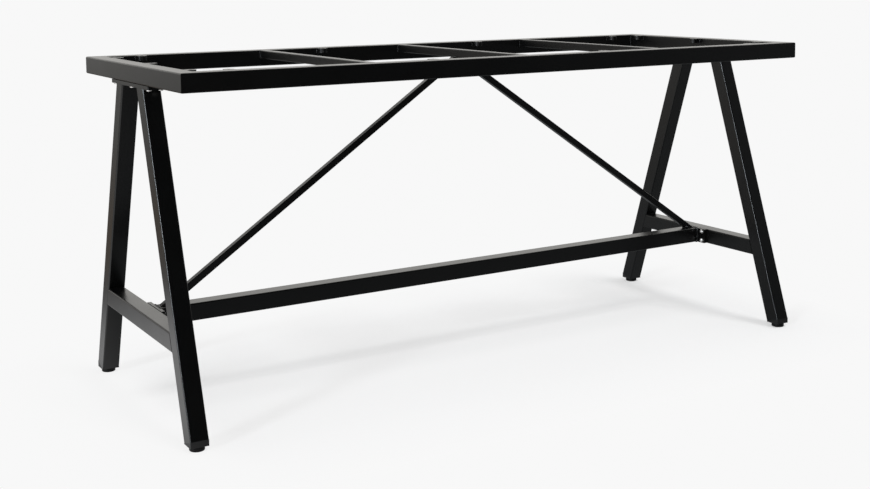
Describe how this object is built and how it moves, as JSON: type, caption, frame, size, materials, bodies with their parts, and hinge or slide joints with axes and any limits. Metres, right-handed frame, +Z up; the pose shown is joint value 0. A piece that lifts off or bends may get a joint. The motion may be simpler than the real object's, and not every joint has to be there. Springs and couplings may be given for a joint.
{
  "type": "bar table base",
  "caption": "Welded square-tube bar table base with a mitred top frame, A-shaped leg frames, a low stretcher and diagonal braces.",
  "frame": {"origin": "on the floor, under the centre of the base", "axes": "+X along the table's length, +Y across it, +Z up"},
  "size_m": [2.1, 0.82, 0.955],
  "materials": {
    "black_powder_coat": "satin black powder coat",
    "black_plastic": "moulded, fine grain",
    "zinc_plated_steel": "bright zinc plated"
  },
  "bodies": {
    "root": {"brace_left": "black_powder_coat", "brace_right": "black_powder_coat", "crossbar_rivet_nuts_left": "zinc_plated_steel", "crossbar_rivet_nuts_right": "zinc_plated_steel", "fixing_lugs_back": "black_powder_coat", "fixing_lugs_front": "black_powder_coat", "fixing_lugs_left": "black_powder_coat", "fixing_lugs_right": "black_powder_coat", "foot_cap_back_left": "black_plastic", "foot_cap_back_right": "black_plastic", "foot_cap_front_left": "black_plastic", "foot_cap_front_right": "black_plastic", "foot_glide_back_left": "black_plastic", "foot_glide_back_right": "black_plastic", "foot_glide_front_left": "black_plastic", "foot_glide_front_right": "black_plastic", "leg_back_left": "black_powder_coat", "leg_back_right": "black_powder_coat", "leg_crossbar_left": "black_powder_coat", "leg_crossbar_right": "black_powder_coat", "leg_front_left": "black_powder_coat", "leg_front_right": "black_powder_coat", "rail_rivet_nuts_left": "zinc_plated_steel", "rail_rivet_nuts_right": "zinc_plated_steel", "stretcher": "black_powder_coat", "stretcher_end_plate_left": "black_powder_coat", "stretcher_end_plate_right": "black_powder_coat", "stretcher_screws_left": "zinc_plated_steel", "stretcher_screws_right": "zinc_plated_steel", "top_crossbar_left": "black_powder_coat", "top_crossbar_middle": "black_powder_coat", "top_crossbar_right": "black_powder_coat", "top_plate_left": "black_powder_coat", "top_plate_right": "black_powder_coat", "top_plate_screws_left": "zinc_plated_steel", "top_plate_screws_right": "zinc_plated_steel", "top_rail_back": "black_powder_coat", "top_rail_front": "black_powder_coat", "top_rail_left": "black_powder_coat", "top_rail_right": "black_powder_coat"}
  },
  "joints": []
}
